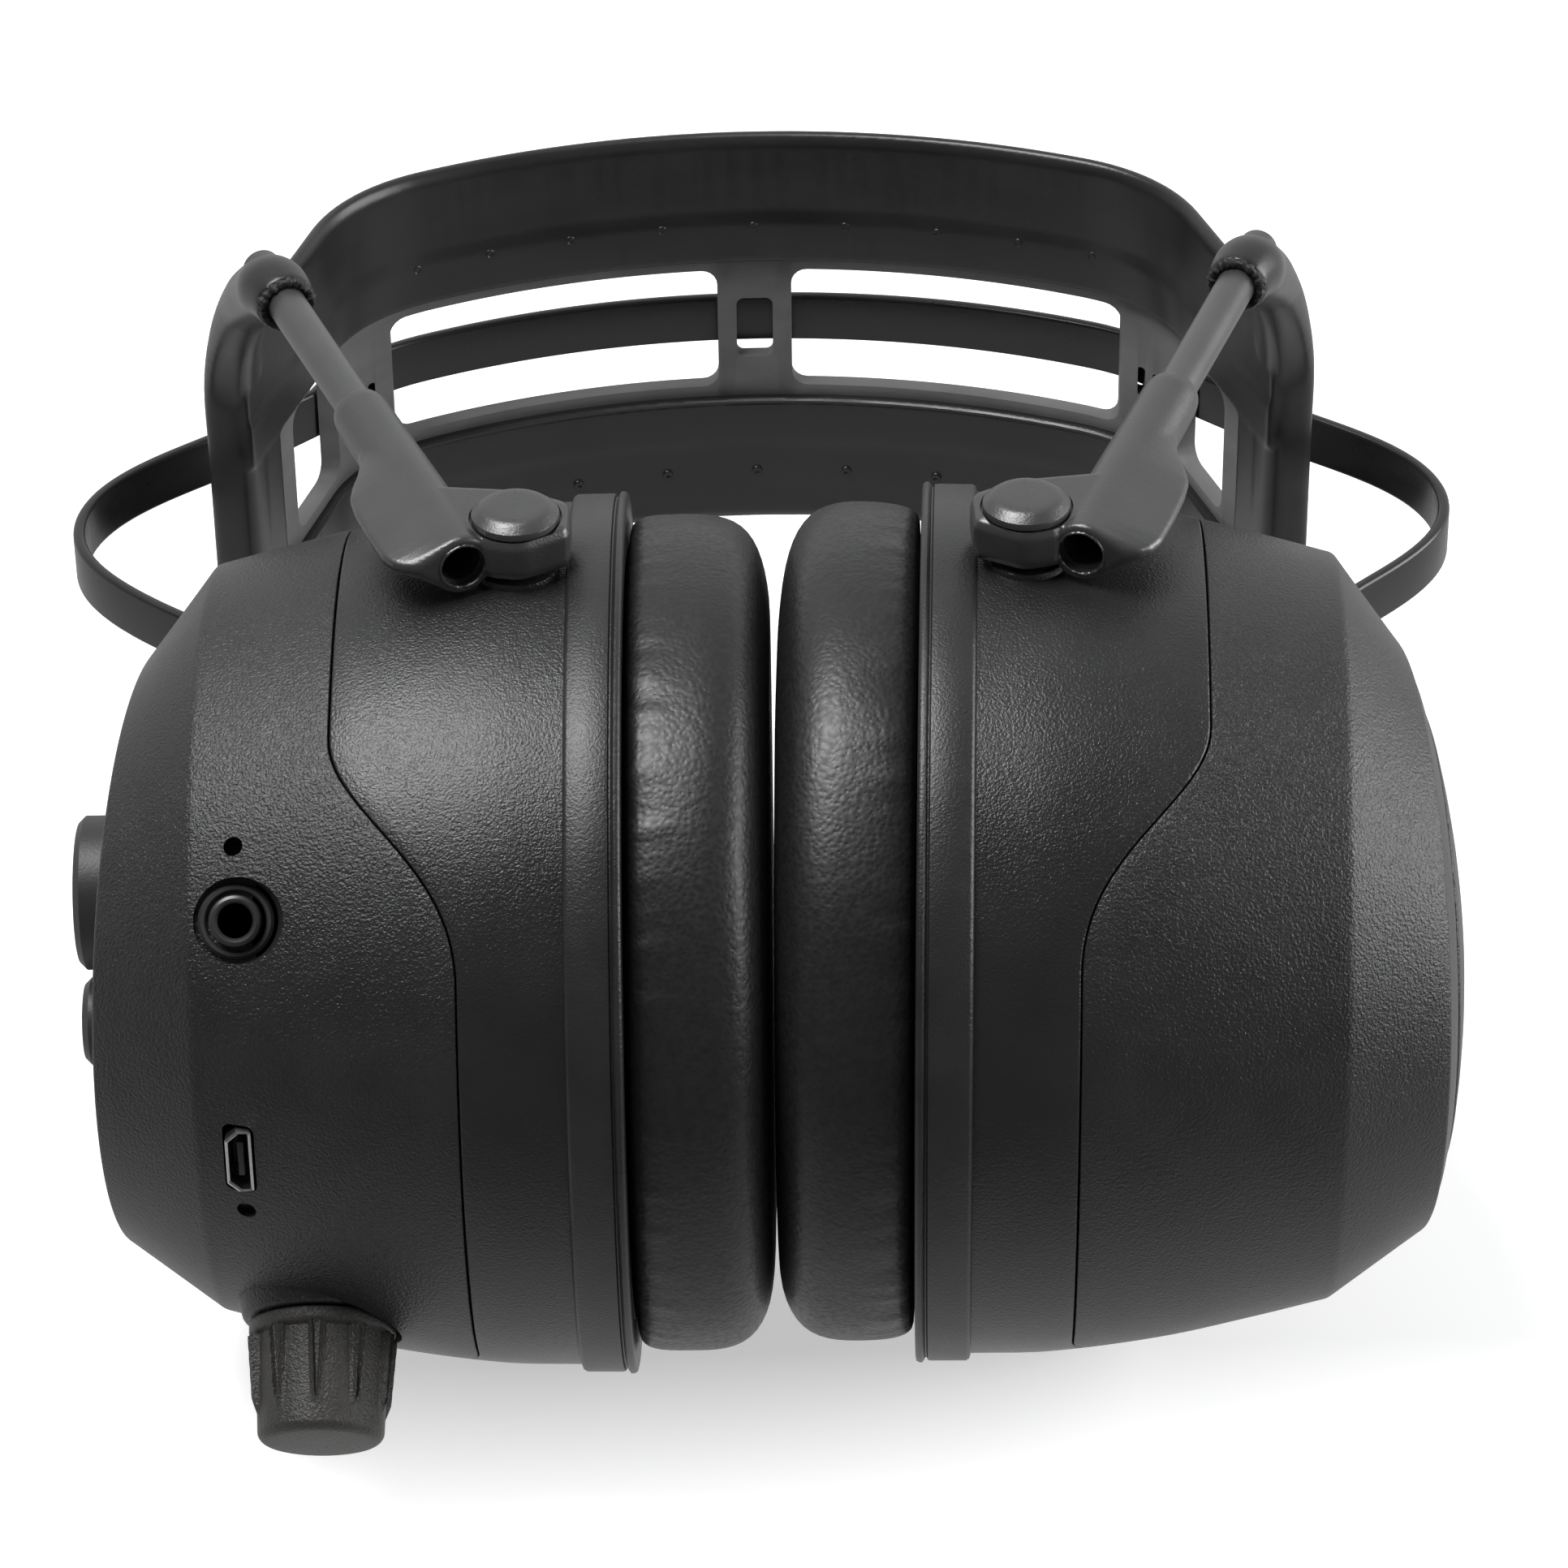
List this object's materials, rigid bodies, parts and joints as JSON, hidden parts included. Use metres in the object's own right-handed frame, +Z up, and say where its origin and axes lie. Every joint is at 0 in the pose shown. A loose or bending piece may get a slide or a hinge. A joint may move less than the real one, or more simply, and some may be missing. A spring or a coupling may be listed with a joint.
{
  "type": "radio headphones",
  "caption": "Closed-back radio headphones: two round cups on sliding rods under one slotted headband, joined by a flat lead.",
  "frame": {"origin": "on the surface that the headphones lie on, under the middle of their outline", "axes": "+X from the wearer's left cup to the right cup, +Y from the cups to the crown, +Z up from the surface"},
  "size_m": [0.165, 0.184, 0.1088],
  "materials": {
    "band": "moulded, satin",
    "lead": "extruded, dull",
    "rod": "black plated steel, satin",
    "bracket": "cast, semi-gloss",
    "pivot_pin": "moulded, polished",
    "rim": "moulded, semi-gloss",
    "inner_housing": "moulded, semi-gloss",
    "outer_housing": "moulded, fine grain",
    "cushion": "leatherette, fine wrinkles",
    "ear_foam": "open-cell foam",
    "inside_plastic": "moulded",
    "cone": "paper",
    "steel": "plated",
    "board": "glass-filled board",
    "jack_bush": "turned, dull",
    "light_lens": "clear, dark when off",
    "knob": "moulded, semi-gloss",
    "button": "moulded, fine grain",
    "cells": "wrapped"
  },
  "bodies": {
    "headband": {"headband": "band", "lead_crown": "lead", "lead_loop_left": "lead", "lead_loop_right": "lead", "rod_left_front": "rod", "rod_left_rear": "rod", "rod_right_front": "rod", "rod_right_rear": "rod"},
    "left_yoke": {"bracket_left_front": "bracket", "bracket_left_rear": "bracket", "pivot_pin_left_front": "pivot_pin", "pivot_pin_left_rear": "pivot_pin"},
    "right_yoke": {"bracket_right_front": "bracket", "bracket_right_rear": "bracket", "pivot_pin_right_front": "pivot_pin", "pivot_pin_right_rear": "pivot_pin"},
    "left_cup": {"rim_left": "rim", "inner_housing_left": "inner_housing", "outer_housing_left": "outer_housing", "cushion_left": "cushion", "ear_foam_left": "ear_foam", "baffle_left": "inside_plastic", "driver_frame_left": "inside_plastic", "driver_cone_left": "cone", "driver_magnet_left": "steel", "baffle_screws_left": "steel", "lead_gland_left": "lead", "control_board": "board", "tact_switches": "inside_plastic", "jack_socket": "jack_bush", "usb_socket": "steel", "status_light": "light_lens", "microphone": "inside_plastic", "volume_control": "inside_plastic", "board_screws": "steel"},
    "right_cup": {"rim_right": "rim", "inner_housing_right": "inner_housing", "outer_housing_right": "outer_housing", "cover_right": "outer_housing", "cushion_right": "cushion", "ear_foam_right": "ear_foam", "baffle_right": "inside_plastic", "driver_frame_right": "inside_plastic", "driver_cone_right": "cone", "driver_magnet_right": "steel", "baffle_screws_right": "steel", "lead_gland_right": "lead", "battery_cells": "cells", "battery_tray": "inside_plastic", "tuner_board": "board", "tray_screws": "steel"},
    "knob": {"volume_knob": "knob"},
    "main_button": {"button_main": "button"},
    "next_button": {"button_next": "button"},
    "back_button": {"button_back": "button"}
  },
  "joints": [
    {"name": "left_extend", "type": "slide", "parent": "headband", "child": "left_yoke", "axis": [-0.3502, 0.9367, 0], "range_m": [0, 0.022], "deforming": ["lead_loop_left"]},
    {"name": "right_extend", "type": "slide", "parent": "headband", "child": "right_yoke", "axis": [0.3502, 0.9367, 0], "range_m": [0, 0.022], "deforming": ["lead_loop_right"]},
    {"name": "left_swivel", "type": "hinge", "parent": "left_yoke", "child": "left_cup", "pos_m": [-0.0265, -0.0437, 0.0544], "axis": [0, 0, 1], "range_deg": [-4, 8], "deforming": ["lead_loop_left"]},
    {"name": "right_swivel", "type": "hinge", "parent": "right_yoke", "child": "right_cup", "pos_m": [0.0265, -0.0437, 0.0544], "axis": [0, 0, 1], "range_deg": [-4, 8], "deforming": ["lead_loop_right"]},
    {"name": "volume_turn", "type": "hinge", "parent": "left_cup", "child": "knob", "pos_m": [-0.04927, -0.08214, 0.02619], "axis": [-0.0141, -0.8089, -0.5878], "range_deg": [0, 280]},
    {"name": "main_press", "type": "slide", "parent": "left_cup", "child": "main_button", "axis": [0.9998, -0.0175, 0], "range_m": [0, 0.0006], "stiffness_N_per_m": 1500},
    {"name": "next_press", "type": "slide", "parent": "left_cup", "child": "next_button", "axis": [0.9998, -0.0175, 0], "range_m": [0, 0.0006], "stiffness_N_per_m": 1500},
    {"name": "back_press", "type": "slide", "parent": "left_cup", "child": "back_button", "axis": [0.9998, -0.0175, 0], "range_m": [0, 0.0006], "stiffness_N_per_m": 1500}
  ],
  "couplings": [
    {"joint": "right_swivel", "follows": "left_swivel", "ratio": 1}
  ]
}
